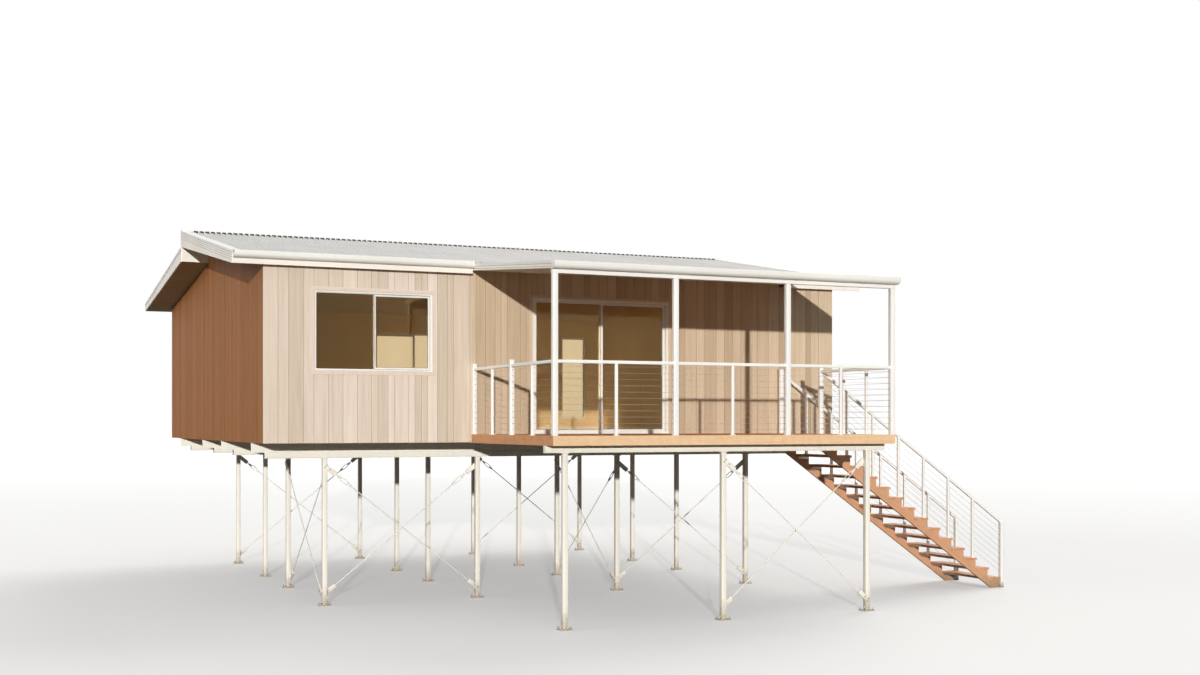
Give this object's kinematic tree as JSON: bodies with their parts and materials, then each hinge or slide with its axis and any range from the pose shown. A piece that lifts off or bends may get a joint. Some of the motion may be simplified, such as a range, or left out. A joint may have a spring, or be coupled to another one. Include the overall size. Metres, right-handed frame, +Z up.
{
  "type": "stilt house",
  "caption": "Single-storey house raised on square steel stumps, with a stepped low gable roof, a roofed verandah deck with wire balustrades and an open side stair.",
  "frame": {"origin": "middle of the whole house's bounding box in plan, at the underside of the stumps' foot plates", "axes": "+Z up, +Y from the verandah front towards the back wall, +X to the right along the front wall"},
  "size_m": [12.736, 13.32, 6.1291],
  "materials": {
    "steel_cream": "satin powder coat",
    "galvanised": "dull galvanised",
    "joist_steel": "galvanised",
    "floor_board": "bare board",
    "cladding_pale": "weathered vertical boards",
    "cladding_tan": "weathered vertical boards",
    "cladding_brown": "oiled grooved boards",
    "window_aluminium": "white powder coat",
    "glass": "clear",
    "lining_brown": "stained lining",
    "ceiling_pale": "matt",
    "rafter_timber": "sawn",
    "roofing": "ribbed coated sheet",
    "trim_white": "gloss coated sheet",
    "deck_timber": "oiled hardwood",
    "deck_frame": "sawn hardwood",
    "rail_white": "white powder coat",
    "stair_timber": "oiled hardwood"
  },
  "bodies": {
    "house": {"house_stumps": "steel_cream", "deck_stumps": "steel_cream", "floor_bearers": "steel_cream", "floor_beams": "steel_cream", "house_braces": "steel_cream", "deck_braces": "steel_cream", "floor_joists": "joist_steel", "floor_sheet": "floor_board", "left_gable_wall": "cladding_brown", "right_gable_wall": "cladding_brown", "back_wall": "cladding_pale", "front_wall_left": "cladding_pale", "front_wall_middle": "cladding_tan", "door_head_wall": "cladding_tan", "front_wall_right": "cladding_tan", "window_frames": "window_aluminium", "window_glass": "glass", "door_frame": "window_aluminium", "door_fixed_panel": "window_aluminium", "door_fixed_glass": "glass", "roof_lining": "lining_brown", "rafters": "rafter_timber", "front_roof_sheet": "roofing", "back_roof_sheet": "roofing", "ridge_board": "trim_white", "ridge_capping": "roofing", "barge_boards": "trim_white", "eave_fascias": "trim_white", "gutters": "trim_white", "verandah_posts": "rail_white", "verandah_beam": "rail_white", "verandah_lining": "ceiling_pale", "verandah_sheet": "roofing", "deck_bearer": "steel_cream", "deck_joists": "deck_frame", "deck_boards": "deck_timber", "deck_fascia": "deck_timber", "front_balustrade": "rail_white", "left_balustrade": "rail_white", "right_balustrade": "rail_white", "stair_stringers": "stair_timber", "stair_treads": "stair_timber", "stair_balustrades": "rail_white"},
    "sliding_door": {"door_sliding_panel": "window_aluminium", "door_sliding_glass": "glass"}
  },
  "joints": [
    {"name": "door_slide", "type": "slide", "parent": "house", "child": "sliding_door", "axis": [-1, 0, 0], "range_m": [0, 1.05]}
  ]
}
